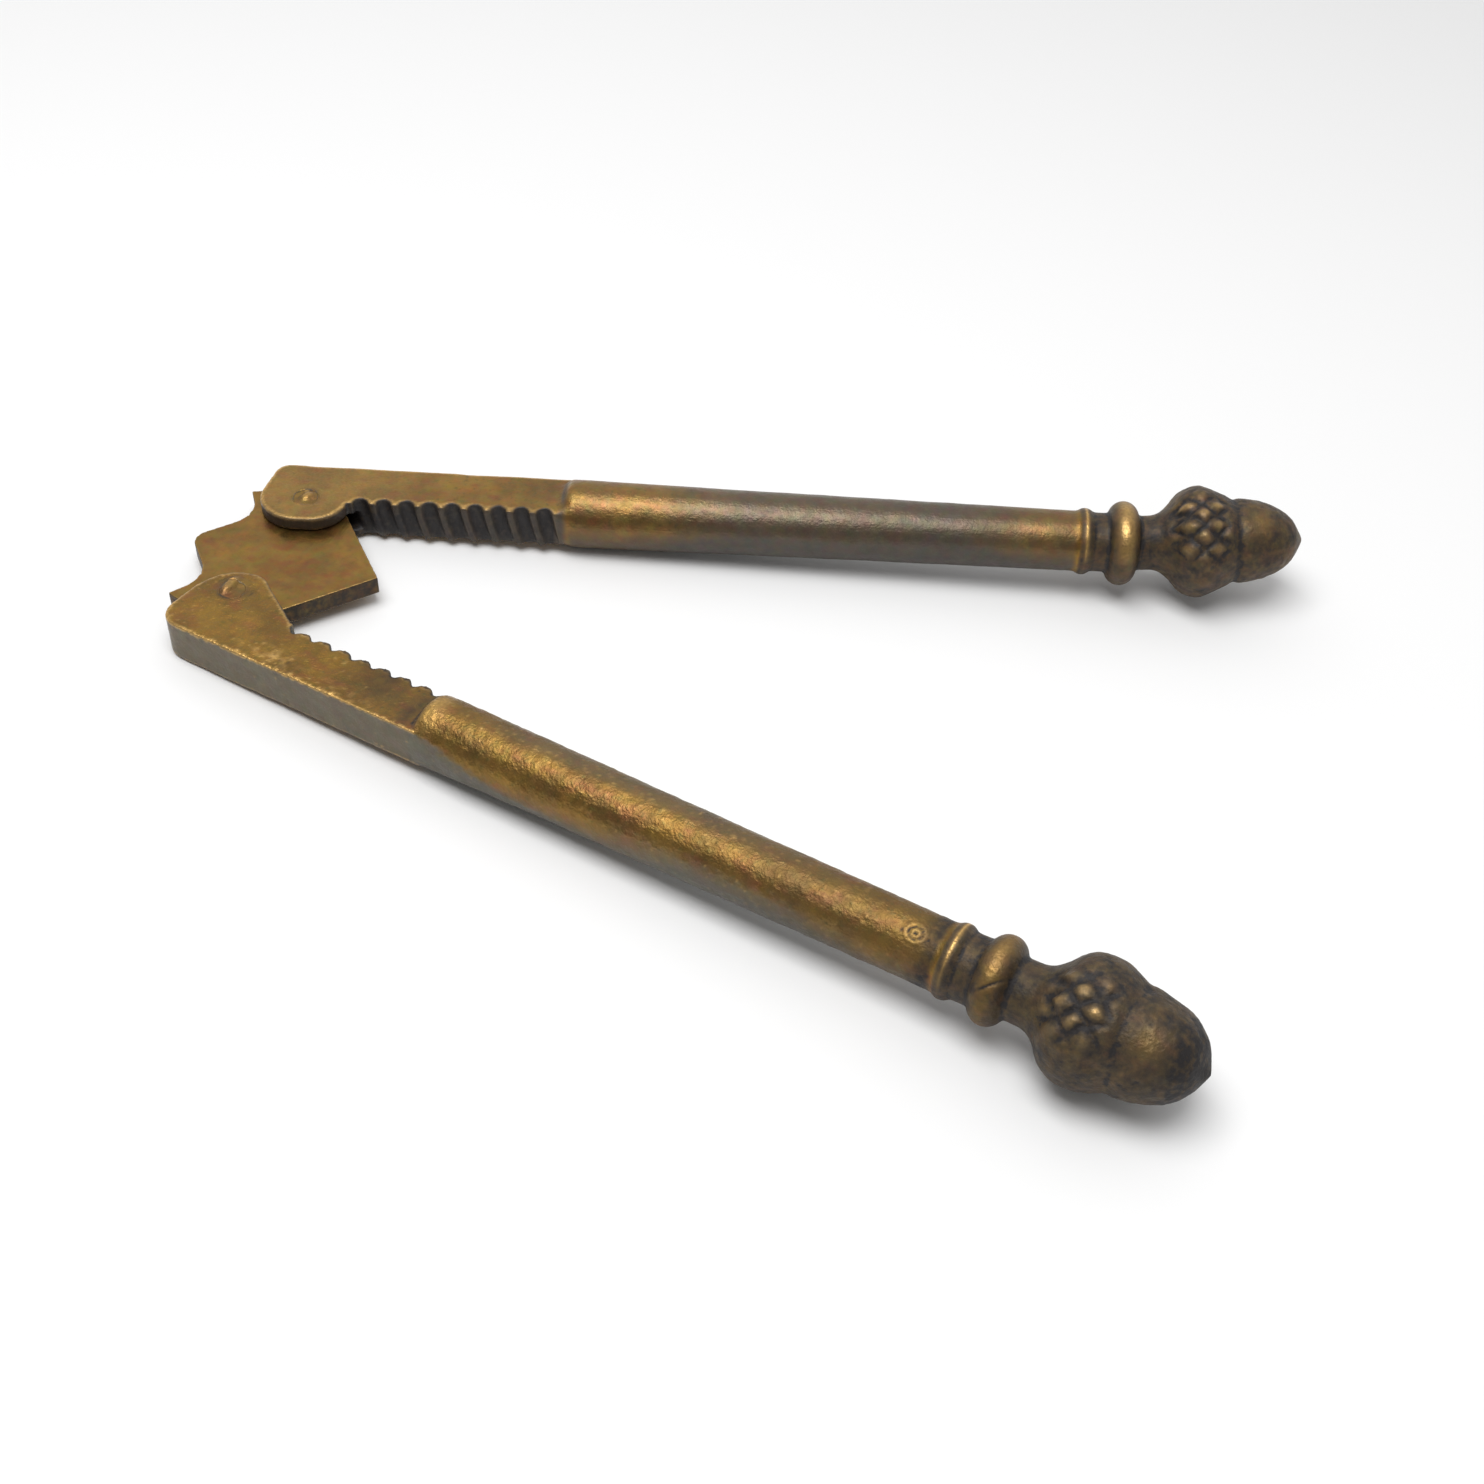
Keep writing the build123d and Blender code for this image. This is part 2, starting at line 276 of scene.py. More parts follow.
# ---- working surface ----------------------------------------------------------------------
class Skin:
    """A finely and evenly meshed copy of a CAD node, in millimetres in the piece's own axes."""

    def __init__(self, node, own_axes, voxel):
        mesh = frame["nodes"][node].data.copy()
        mesh.transform(own_axes.inverted())
        carrier = bpy.data.objects.new("carrier", mesh)
        bpy.context.scene.collection.objects.link(carrier)
        voxels = carrier.modifiers.new("voxels", "REMESH")
        voxels.mode = "VOXEL"
        voxels.voxel_size = voxel
        evaluated = carrier.evaluated_get(bpy.context.evaluated_depsgraph_get())
        self.mesh = bpy.data.meshes.new_from_object(evaluated)
        bpy.data.objects.remove(carrier)
        self.node = node
        self.own_axes = own_axes
        self.co = np.empty(len(self.mesh.vertices) * 3)
        self.mesh.vertices.foreach_get("co", self.co)
        self.co = self.co.reshape(-1, 3)
        ends = np.empty(len(self.mesh.edges) * 2, np.int32)
        self.mesh.edges.foreach_get("vertices", ends)
        self.ends = ends.reshape(-1, 2)
        self.valence = np.bincount(ends, minlength=len(self.co))

    def smoothed(self, values, rounds):
        """Each vertex's values, averaged with its neighbours' this many times."""
        a, b = self.ends.T
        values = np.array(values, float)
        columns = values.reshape(len(values), -1)
        count = len(values)
        for _ in range(rounds):
            for k in range(columns.shape[1]):
                column = columns[:, k]
                total = np.bincount(a, column[b], count) + np.bincount(b, column[a], count)
                columns[:, k] = (column + total / self.valence) / 2
        return columns.reshape(values.shape)

    def ease(self, rounds, weight):
        """Moves each vertex by its weight towards its place on the smoothed surface."""
        self.co += (self.smoothed(self.co, rounds) - self.co) * np.reshape(weight, (-1, 1))

    def normals(self):
        self.mesh.vertices.foreach_set("co", self.co.ravel())
        self.mesh.update()
        found = np.empty(self.co.size)
        self.mesh.vertices.foreach_get("normal", found)
        return found.reshape(-1, 3)

    def push(self, distance):
        """Moves each vertex along its normal."""
        self.co += self.normals() * np.reshape(distance, (-1, 1))

    def hollowness(self, rounds):
        """How far each vertex lies under the smoothed surface, in mm; below 0 on edges."""
        return np.sum((self.smoothed(self.co, rounds) - self.co) * self.normals(), axis=1)

    def paint(self, name, values):
        """Keeps a strength from 0 to 1 for each vertex."""
        layer = self.mesh.attributes.new(name, "FLOAT", "POINT")
        layer.data.foreach_set("value", np.clip(values, 0, 1).astype(np.float32))

    def paint_place(self):
        """Keeps each vertex's place in the piece's own axes, for textures in millimetres."""
        layer = self.mesh.attributes.new("place", "FLOAT_VECTOR", "POINT")
        layer.data.foreach_set("vector", self.co.astype(np.float32).ravel())

    def finished(self, name, body, slot, material):
        """The piece itself, in the frame, riding on its body and standing for its CAD node."""
        self.mesh.vertices.foreach_set("co", self.co.ravel())
        self.mesh.polygons.foreach_set("use_smooth", [True] * len(self.mesh.polygons))
        self.mesh.transform(self.own_axes)
        self.mesh.update()
        self.mesh.name = name
        self.mesh.materials.clear()
        self.mesh.materials.append(material)
        piece = bpy.data.objects.new(name, self.mesh)
        bpy.context.scene.collection.objects.link(piece)
        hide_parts(self.node)
        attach(piece, body)
        return piece


# ---- own axes of the pieces ---------------------------------------------------------------
def joint_place(name):
    return Vector(next(j["pos_m"] for j in frame["joints"] if j["name"] == name))


def axes_matrix(x_axis, y_axis, z_axis, origin):
    """The matrix from own axes in millimetres to the frame in metres."""
    turn = Matrix((x_axis, y_axis, z_axis)).transposed().to_4x4()
    return Matrix.Translation(origin) @ turn @ Matrix.Scale(MM, 4)


def arm_axes(arm):
    angle = radians(arm.rest_angle)
    x_axis = Vector((cos(angle), arm.side * sin(angle), 0))
    z_axis = Vector((0, 0, arm.side))
    return axes_matrix(x_axis, z_axis.cross(x_axis), z_axis, joint_place(arm.joint))


def link_axes():
    middle = (joint_place(REAR.joint) + joint_place(FRONT.joint)) / 2
    return axes_matrix(Vector((1, 0, 0)), Vector((0, 1, 0)), Vector((0, 0, 1)), middle)


def acorn_coordinates(co, arm):
    """Distance along the arm, radius and angle (degrees) round the acorn's own axis."""
    lean = radians(arm.finial_lean)
    tilt = radians(LEAN_DIRECTION)
    x_axis = np.array((cos(lean), sin(lean) * cos(tilt), sin(lean) * sin(tilt)))
    z_axis = np.array((0, 0, 1)) - x_axis * x_axis[2]
    z_axis /= np.linalg.norm(z_axis)
    y_axis = np.cross(z_axis, x_axis)
    rel = co - (TORUS_X, arm.pin_inset, 0)
    y, z = rel @ y_axis, rel @ z_axis
    return rel @ x_axis + TORUS_X, np.hypot(y, z), np.degrees(np.arctan2(z, y))


# ---- materials ----------------------------------------------------------------------------
def node(tree, kind, **settings):
    made = tree.nodes.new(kind)
    for key, value in settings.items():
        if key in made.inputs:
            made.inputs[key].default_value = value
        else:
            setattr(made, key, value)
    return made


def feed(tree, socket, value):
    """Links a socket, or sets a number or a colour."""
    if isinstance(value, bpy.types.NodeSocket):
        tree.links.new(value, socket)
    else:
        socket.default_value = (*value, 1) if isinstance(value, tuple) else value


def mixed(tree, factor, low, high):
    """A colour between low and high; each is a socket or a colour."""
    mix = tree.nodes.new("ShaderNodeMix")
    mix.data_type = "RGBA"
    mix.clamp_factor = True
    colour_a, colour_b = mix.inputs[6:8]
    feed(tree, mix.inputs["Factor"], factor)
    feed(tree, colour_a, low)
    feed(tree, colour_b, high)
    return mix.outputs[2]


def maths(tree, operation, a, b):
    made = node(tree, "ShaderNodeMath", operation=operation)
    feed(tree, made.inputs[0], a)
    feed(tree, made.inputs[1], b)
    return made.outputs[0]


def times(tree, a, b):
    return maths(tree, "MULTIPLY", a, b)


def plus(tree, a, b):
    return maths(tree, "ADD", a, b)


def minus(tree, a, b):
    return maths(tree, "SUBTRACT", a, b)


def ranged(tree, value, low, high, to_low=0.0, to_high=1.0):
    """The value's range from low to high spread over the other range, and held at its ends."""
    made = node(tree, "ShaderNodeMapRange", clamp=True)
    tree.links.new(value, made.inputs["Value"])
    limits = {"From Min": low, "From Max": high, "To Min": to_low, "To Max": to_high}
    for name, number in limits.items():
        made.inputs[name].default_value = number
    return made.outputs["Result"]


def speckle(tree, size, detail=4.0, stretch=(1, 1, 1), kind="Fac"):
    """Noise with lumps `size` mm across, longer along the axes that stretch names."""
    place = node(tree, "ShaderNodeAttribute", attribute_name="place")
    scaling = node(tree, "ShaderNodeMapping")
    scaling.inputs["Scale"].default_value = [1 / (size * s) for s in stretch]
    tree.links.new(place.outputs["Vector"], scaling.inputs["Vector"])
    made = node(tree, "ShaderNodeTexNoise", Detail=detail, Scale=1.0)
    tree.links.new(scaling.outputs["Vector"], made.inputs["Vector"])
    return made.outputs[kind]


def painted(tree, name):
    return node(tree, "ShaderNodeAttribute", attribute_name=name).outputs["Fac"]


def tinted(tree, colour, amount):
    """The colour with soft uneven shifts of hue and brightness about a millimetre across."""
    shift = node(tree, "ShaderNodeVectorMath", operation="MULTIPLY_ADD")
    tree.links.new(speckle(tree, 1.5, 3.0, kind="Color"), shift.inputs[0])
    shift.inputs[1].default_value = (amount,) * 3
    shift.inputs[2].default_value = (1 - amount / 2,) * 3
    product = node(tree, "ShaderNodeVectorMath", operation="MULTIPLY")
    tree.links.new(colour, product.inputs[0])
    tree.links.new(shift.outputs[0], product.inputs[1])
    return product.outputs[0]


def patina(tree, recipe, dull):
    """Mottled brown patina with red blotches and olive flecks, greyer where it is dull."""
    mottle = ranged(tree, speckle(tree, 5.0, 5.0), 0.35, 0.65)
    blotch = ranged(tree, speckle(tree, 2.3, 6.0, (1.6, 1, 1)), 0.52, 0.68)
    fleck = ranged(tree, speckle(tree, 0.7, 3.0), 0.56, 0.74)
    colour = mixed(tree, mottle, recipe.ochre, recipe.umber)
    colour = mixed(tree, times(tree, blotch, recipe.red_share), colour, recipe.red)
    colour = mixed(tree, times(tree, fleck, recipe.olive_share), colour, recipe.olive)
    colour = mixed(tree, dull, colour, recipe.grey)
    return tinted(tree, colour, recipe.tint)


def casting_bumps(tree, recipe):
    """Fine and coarse unevenness and brush marks, as a bump normal."""
    fine = times(tree, speckle(tree, 0.35, 4.0), recipe.fine_bump)
    coarse = times(tree, speckle(tree, 1.1, 3.0), recipe.coarse_bump)
    streak = times(tree, speckle(tree, 0.25, 2.0, recipe.brushing), recipe.streak_bump)
    raised = node(tree, "ShaderNodeBump", Strength=1.0, Distance=MM)
    tree.links.new(plus(tree, plus(tree, fine, coarse), streak), raised.inputs["Height"])
    return raised.outputs["Normal"]


def aged_brass(name, recipe):
    """Brass under a brown patina, rubbed bright where worn and where highlights are painted, and
    dark where dirty and where shade is painted.
    """
    material = bpy.data.materials.new(name)
    material.use_nodes = True
    tree = material.node_tree
    shader = tree.nodes["Principled BSDF"]

    dull = painted(tree, "dull")
    grain = ranged(tree, speckle(tree, 0.45, 2.0), 0.3, 0.7, 0.55, 1.25)
    wear_and_highlight = times(tree, painted(tree, "wear_and_highlight"), grain)
    uneven = ranged(tree, speckle(tree, 0.9), 0.3, 0.6, 0.75, 1.1)
    dirt_and_shade = times(tree, painted(tree, "dirt_and_shade"), uneven)
    colour = mixed(tree, wear_and_highlight, patina(tree, recipe, dull), recipe.gold)
    colour = mixed(tree, dirt_and_shade, colour, recipe.dirt)
    tree.links.new(colour, shader.inputs["Base Color"])

    patches = speckle(tree, 1.6, 5.0)
    roughness = ranged(tree, patches, 0.3, 0.7, recipe.rough - 0.06, recipe.rough + 0.08)
    roughness = minus(tree, roughness, times(tree, wear_and_highlight, 0.10))
    roughness = plus(tree, roughness, times(tree, dirt_and_shade, 0.2))
    tree.links.new(roughness, shader.inputs["Roughness"])
    metal = minus(tree, 1.0, times(tree, dirt_and_shade, 0.6))
    metal = minus(tree, metal, times(tree, dull, 0.35))
    tree.links.new(metal, shader.inputs["Metallic"])
    tree.links.new(casting_bumps(tree, recipe), shader.inputs["Normal"])
    return material


def brass_recipe(**changes):
    """The common brass, with what is different on one piece."""
    base = dict(
        ochre=(0.36, 0.205, 0.050), umber=(0.22, 0.128, 0.038),
        red=(0.27, 0.108, 0.045), red_share=0.6, olive=(0.15, 0.125, 0.038), olive_share=0.6,
        grey=(0.105, 0.088, 0.070), gold=(0.66, 0.41, 0.14), dirt=(0.018, 0.015, 0.015),
        tint=0.6, rough=0.40, brushing=(30, 1, 1),
        fine_bump=0.05, coarse_bump=0.06, streak_bump=0.0,
    )
    return SimpleNamespace(**{**base, **changes})


# ---- the arms: casting, shoulder and teeth ------------------------------------------------
def jaw_line(arm):
    """Outward place of the jaw's face, where the crests of its teeth are."""
    return arm.pin_inset - arm.jaw_depth


def last_groove(arm):
    return arm.first_groove + GROOVE_PITCH * (arm.grooves - 1)


def soften_casting(skin, arm):
    """Rounds every edge a little, and the head's edges more here and there."""
    skin.co = skin.smoothed(skin.co, 2)
    knocked = ramp(noise(skin.co, 4.0, arm.seed), 0.1, 0.9)
    skin.ease(6, knocked * ramp(skin.co[:, 0], SHOULDER_X + 2, SHOULDER_X))


def blend_shoulder(skin, arm):
    """Runs the outer side of the jaw bar into the shank without a step."""
    s, n, z = skin.co.T
    outward = ramp(n - arm.pin_inset, 2.5, 3.8) * ramp(np.abs(z), 3.1, 1.2)
    near = band(s, SHOULDER_X - 5.0, SHOULDER_X - 2.5, SHOULDER_X + 4.0, SHOULDER_X + 8.0)
    at_step = arm.shoulder_soft * ramp(np.abs(s - SHOULDER_X - 0.6), 2.6, 1.0)
    skin.ease(150, outward * near)
    skin.ease(60, at_step * ramp(n - arm.pin_inset, 4.0, 2.0))


def round_teeth(skin, arm):
    """Wears the crests between the grooves of the jaw."""
    s, n, _ = skin.co.T
    start = arm.first_groove
    crest = ramp(n, jaw_line(arm) + 1.0, jaw_line(arm) + 0.5)
    crest *= band(s, start - 1.0, start + 0.5, SHOULDER_X - 1.0, SHOULDER_X)
    skin.ease(12, crest * arm.tooth_wear)


def tooth_crests(skin, arm):
    """1 on the crests of the jaw's teeth and past its ends, 0 along the bottoms of its grooves."""
    s, n, _ = skin.co.T
    toothed = ramp(n, jaw_line(arm) + 2.2, jaw_line(arm) + 1.7)
    toothed *= (s > arm.first_groove - GROOVE_PITCH / 2) * (s < last_groove(arm) + GROOVE_PITCH / 2)
    return 1 - toothed * (0.5 + 0.5 * np.cos(2 * pi * (s - arm.first_groove) / GROOVE_PITCH))


def slant_teeth(skin, arm, crests):
    """Leans the lower ends of the grooves towards the acorn, as a slanting file would cut them,
    fills them a little and widens the worn crests between them."""
    s, n, z = skin.co.T
    start, end = arm.first_groove, last_groove(arm)
    toothed = ramp(n, jaw_line(arm) + 2.8, jaw_line(arm) + 1.4)
    toothed *= band(s, start - 2.5, start - 0.5, end + 0.5, end + 3.5)
    depth = np.clip((HEAD_HALF - z * arm.side) / (2 * HEAD_HALF), 0, 1)
    skin.co[:, 0] += arm.tooth_slant * toothed * depth**1.5
    at_top, at_bottom = arm.groove_fill
    skin.co[:, 1] -= (at_top + (at_bottom - at_top) * depth**2) * (1 - crests)
    skin.co[:, 1] -= arm.crest_widening * 4 * crests * (1 - crests)


# ---- the arms: which part each vertex belongs to ------------------------------------------
def head_zones(skin, arm, zone):
    """The flat head and jaw, their upper flat, their sides, and the outside of the slot."""
    s, n, z = skin.co.T
    zone.head = ramp(s, SHOULDER_X + 1.0, SHOULDER_X - 0.3)
    zone.top = zone.head * ramp(zone.up, 0.8, 0.95)
    zone.side_face = zone.head * (1 - zone.head * ramp(np.abs(zone.up), 0.75, 0.95))
    in_slot = np.abs(z - arm.side * SLOT_MIDDLE) < SLOT_HALF
    in_slot &= (n < SLOT_OUTWARD) & (s < SLOT_ALONG)
    zone.outside = 1 - np.clip(2 * skin.smoothed(in_slot, 2), 0, 1)


def acorn_zones(skin, arm, zone):
    """The cup and the nut, with the cup's scales: 1 in the middle of each diamond, 0 in the
    valleys between them, a number for each scale, and how crisp they are left."""
    zone.along, zone.radius, zone.turn = acorn_coordinates(skin.co, arm)
    zone.cup = band(zone.along, SCALE_ROW_X - 2.6, SCALE_ROW_X - 1.2, RIM_X - 0.8, RIM_X + 0.1)
    zone.nut = ramp(zone.along, RIM_X, RIM_X + 1.0)
    zone.wander = noise(skin.co, 3.0, arm.seed + 7)
    row = (zone.along - SCALE_ROW_X) / (2 * SCALE_ROW_PITCH) + 0.07 * zone.wander
    column = (zone.turn - arm.scale_turn) * SCALES_AROUND / 360 + 0.10 * zone.wander
    a, b = row + column, row - column
    zone.pads = (np.cos(pi * (a - np.round(a))) * np.cos(pi * (b - np.round(b)))) ** 0.75
    cell = np.stack([np.round(a), np.round(b), 0 * a], axis=1).astype(int) + CELL_SHIFT
    zone.pad_number = lattice(cell, arm.seed)
    toward_patch = np.abs(np.cos(np.radians(zone.turn - arm.scale_turn)))
    zone.crisp = 0.12 + 0.88 * ramp(toward_patch, arm.scale_fade, 0.93)
    zone.crisp *= ramp(zone.along, RIM_X - 0.6, RIM_X - 2.2)
    zone.crisp *= 0.85 + 0.3 * noise(skin.co, 4.0, arm.seed + 2)


def arm_zones(skin, arm, crests):
    """Strengths from 0 to 1 that tell the parts of the arm from each other."""
    facing = skin.normals()
    s = skin.co[:, 0]
    zone = SimpleNamespace(crests=crests, up=facing[:, 2] * arm.side, inward=-facing[:, 1], nick=0)
    zone.shank = band(s, SHOULDER_X, SHOULDER_X + 1.5, RING_X - 2.0, RING_X - 1.0)
    head_zones(skin, arm, zone)
    acorn_zones(skin, arm, zone)
    return zone


def around(zone, bearing):
    """Millimetres round the surface from a bearing in degrees."""
    return np.radians((zone.turn - bearing + 180) % 360 - 180) * zone.radius


# ---- the arms: carving --------------------------------------------------------------------
def carve_cup(skin, arm, zone):
    """Sinks the valleys between the scales, wears some scales lower and cuts in the rim."""
    depth = SCALE_DEPTH * (1 - zone.pads) + SCALE_UNEVEN * zone.pad_number
    skin.push(-depth * zone.cup * zone.crisp)
    skin.push(-arm.rim_cut * bump(zone.along, RIM_CUT_X, RIM_CUT_WIDTH))


def roughen(skin, arm, zone):
    """Lumps and pitting of the casting, and the bright spots and stains of the upper flat."""
    s, n, _ = skin.co.T
    uneven = noise(skin.co, 3.1, arm.seed + 1) - 1
    skin.push(arm.lumps * uneven * zone.outside * (1 + 2 * zone.nut + zone.cup))
    texture = noise(skin.co, 0.8, arm.seed + 3) + 0.7 * noise(skin.co, 0.45, arm.seed + 4) - 1.4
    zone.bright = zone.top * spots(s, n, arm.bright_spots)
    zone.stain = zone.top * spots(s, n, arm.stains)
    roughness = arm.rough_head * zone.head * zone.outside + 1.2 * zone.bright + zone.shank
    skin.push(arm.pitting * texture * roughness)
    skin.push(ACORN_PITTING * texture * (zone.nut + 0.8 * zone.cup))
    skin.push(-STAIN_DEPTH * zone.stain)


def nick_torus(skin, zone):
    bearing = NICK_TURN + NICK_SLANT * (zone.along - TORUS_X)
    zone.nick = bump(around(zone, bearing), 0, NICK_WIDTH) * bump(zone.along, NICK_X, NICK_LENGTH)
    skin.push(-NICK_DEPTH * zone.nick)


def punch_rings(skin, zone):
    away = np.hypot(zone.along - PUNCH_X, around(zone, PUNCH_TURN))
    skin.push(PUNCH_HEIGHT * sum(bump(away, radius, PUNCH_LINE) for radius in PUNCH_RINGS))


def fill_dimples(skin, zone):
    """Levels the rivet's dimples up to the flats, as the hammered metal fills them."""
    s, n, z = skin.co.T
    zone.near_pin = zone.head * ramp(np.hypot(s, n), PIN_REACH + 0.4, PIN_REACH - 0.2)
    dimple = ramp(np.hypot(s, n), PIN_REACH, PIN_REACH - 0.3)
    dimple *= ramp(np.abs(z), HEAD_HALF - 0.7, HEAD_HALF - 0.4)
    skin.co[:, 2] += dimple * (np.sign(z) * (HEAD_HALF - DIMPLE_SINK) - z)
    skin.ease(3, dimple)


def strike_rivet(skin, arm):
    """Hammers the marks round the upper end of the rivet into the arm or the rivet itself.
    Returns how far each vertex is on a raised mark, where a highlight is painted, and how far in a
    hollow, where dirt is painted, and at a raised mark's foot, where a shadow is painted."""
    x, y, z = skin.co.T
    top = ramp(z * arm.side, HEAD_HALF - 1.0, HEAD_HALF - 0.6)
    raised, sunk = np.zeros(len(x)), np.zeros(len(x))
    for mark in arm.rivet_marks:
        turn = radians(mark.turn)
        across, along = x - mark.at[0], y - mark.at[1]
        u = (across * cos(turn) + along * sin(turn)) / mark.size[0]
        v = (along * cos(turn) - across * sin(turn)) / mark.size[1]
        away = u**2 + v**2
        shape = bump(away, 0, 1) * top
        pull = mark.pull * shape * np.clip(u, 0, 1)
        lift = arm.side * mark.height * shape
        skin.co += np.stack([pull * cos(turn), pull * sin(turn), lift], axis=1)
        if mark.height > 0:
            raised += shape
            sunk += (bump(away, 0, 2) * top - shape) * mark.height / FOOT_SHADE
        else:
            sunk -= shape * mark.height / HOLLOW_DIRT
    return raised, sunk


def pit_casting(skin, arm, zone):
    """Large pits: full on the nut, shallower on the cup and the head, none at the rivet."""
    where = 0.5 * zone.head * (1 - zone.near_pin) + zone.nut + 0.6 * zone.cup
    depth = PIT_DEPTH * pits(skin.co, PIT_SIZE, arm.seed + 5, PIT_SHARE)
    skin.push(-depth * zone.outside * where)


# ---- the arms: painting -------------------------------------------------------------------
def paint_zones(skin, arm, zone):
    """What the painting needs besides, from the finished shape."""
    s = skin.co[:, 0]
    zone.fine = skin.hollowness(4)
    zone.broad = skin.hollowness(30)
    zone.rubbed = 0.5 + 0.5 * noise(skin.co, 2.5, arm.seed + 6)
    zone.mottle = noise(skin.co, 1.3, arm.seed + 10)
    # facing down: the undersides, where shade is painted
    zone.under = ramp(zone.up, 0.45, -0.45)
    zone.finial = ramp(s, RING_X - 1.2, RING_X - 0.6)
    zone.torus = bump(s, TORUS_X, 1.3)
    # the side of the torus and ring that faces the light, where highlights are painted
    zone.crest = ramp(np.cos(np.radians(zone.turn - arm.highlight_turn)), 0.3, 0.98)
    patch_x, patch_turn = arm.nut_highlight
    zone.patch = zone.nut * spot(zone.along, around(zone, patch_turn), (patch_x, 0), (1.6, 2.2))


def worn_edges(skin, arm, zone):
    """Edges rubbed bright, less round the rivets and on the shank, the finial and the grooves."""
    s = skin.co[:, 0]
    jaw_face = zone.head * ramp(zone.inward, 0.3, 0.8)
    jaw_face *= ramp(s, arm.first_groove - 2.5, arm.first_groove - 1.5)
    wear_and_highlight = ramp(-zone.fine, *WORN_EDGE) * (0.6 + 0.4 * zone.rubbed)
    wear_and_highlight *= (1 - 0.85 * zone.near_pin) * (1 - 0.5 * zone.shank) * (1 - 0.85 * zone.finial)
    return wear_and_highlight * (1 - 0.8 * jaw_face) * (0.3 + 0.7 * zone.crests)


def wear_and_highlight_places(skin, arm, zone):
    """How bright the brass is rubbed, with painted highlights on the torus, the ring, the nut, the
    shoulder and the rivet's raised marks, dimmed on the undersides as painted shade.
    """
    s = skin.co[:, 0]
    scales = arm.pad_wear * zone.cup * ramp(zone.pads, 0.55, 1.0) * zone.crisp
    shoulder = arm.shoulder_highlight * zone.shank * bump(s, SHOULDER_X + 1.6, 1.8)
    wear_and_highlight = worn_edges(skin, arm, zone)
    wear_and_highlight += scales * (0.4 + 0.6 * zone.rubbed)
    # painted highlight, partly rubbed, on the lit side of the torus
    wear_and_highlight += arm.crest_highlight * zone.torus * zone.crest * (0.5 + 0.5 * zone.rubbed)
    # painted highlight along the lit side of the ring
    wear_and_highlight += bump(s, RING_X, 0.22) * (0.3 + 0.7 * zone.crest)
    wear_and_highlight += zone.bright * ramp(noise(skin.co, 0.8, arm.seed + 8), -0.2, 0.5)
    # painted highlight on the nut
    wear_and_highlight += zone.patch * (0.24 + 0.14 * zone.wander + 0.14 * zone.mottle)
    # painted highlight on the tops of the rivet's raised marks
    wear_and_highlight += 0.4 * zone.raised
    wear_and_highlight += arm.head_bright * zone.top * ramp(s, *HEAD_FADE)
    # painted highlight where the shoulder's rounded upper edge catches the light
    wear_and_highlight += shoulder * ramp(zone.up, 0.3, 0.9) * zone.rubbed
    # painted shade: less bright on the undersides of the finial and the head and on the shank's
    # lower side
    wear_and_highlight *= 1 - arm.torus_under * zone.finial * zone.under
    wear_and_highlight *= 1 - 0.6 * zone.shank * ramp(zone.up, 0.6, 0.1)
    wear_and_highlight *= 1 - arm.low_edge * zone.head * zone.under
    return np.clip(wear_and_highlight, 0, 1)


def grimy_hollows(skin, arm, zone):
    """Dirt in hollows, less at the rivets and at a soft shoulder."""
    s = skin.co[:, 0]
    dirt_and_shade = 0.8 * ramp(zone.fine, *FINE_HOLLOW) + 0.9 * ramp(zone.broad, *BROAD_HOLLOW)
    dirt_and_shade *= 1 - 0.85 * zone.near_pin
    return dirt_and_shade * (1 - 0.85 * arm.shoulder_soft * ramp(np.abs(s - SHOULDER_X), 3.0, 1.0))


def jaw_shade(skin, arm, zone):
    """Painted shade on the sides of the jaw that face the nut, a little less on the crests and at
    the shank.
    """
    s = skin.co[:, 0]
    dirt_and_shade = zone.head * ramp(zone.inward, 0.0, 0.6) * (0.7 + 0.3 * ramp(s, 5.0, 8.0))
    dirt_and_shade *= 1 - 0.3 * zone.crests * ramp(s, arm.first_groove - 1.5, arm.first_groove)
    return dirt_and_shade * (1 - 0.6 * ramp(s, SHOULDER_X - 1.7, SHOULDER_X - 1.0))


def dirt_and_shade_places(skin, arm, zone, wear_and_highlight):
    """How dark the dirt and the painted shade are."""
    s = skin.co[:, 0]
    valleys = zone.cup * ramp(zone.pads, 0.5, 0.05) * zone.crisp
    # the finial's dirt, lighter on the torus's lit side and at the nut's painted highlight, as
    # painted light
    finial = 0.76 - zone.torus * (0.2 + 0.25 * zone.crest) - 0.3 * zone.patch
    finial += 0.08 * zone.wander + 0.15 * zone.mottle
    dirt_and_shade = grimy_hollows(skin, arm, zone) + jaw_shade(skin, arm, zone)
    dirt_and_shade += 0.75 * valleys * (0.7 + 0.3 * zone.wander)
    # dirt in the rivet's hollows and in the nick, painted shadow at the feet of the rivet's raised
    # marks, and painted shade inside the slot for the link
    dirt_and_shade += 0.7 * zone.sunk + 0.35 * zone.nick + (1 - zone.outside)
    # painted shade on the shank's underside
    dirt_and_shade += 0.25 * zone.under * zone.shank
    dirt_and_shade += zone.stain * (0.7 + 0.3 * zone.wander)
    dirt_and_shade += arm.end_dark * zone.shank * ramp(s, *END_DARK) * (0.8 + 0.2 * zone.wander)
    dirt_and_shade += arm.far_dark * zone.shank * ramp(s, *FAR_DARK)
    dirt_and_shade += zone.finial * finial * (1 - wear_and_highlight)
    dirt_and_shade += arm.tip_dark * ramp(zone.along, TIP_X - 6.0, TIP_X - 1.5)
    return np.clip(dirt_and_shade, 0, 1)


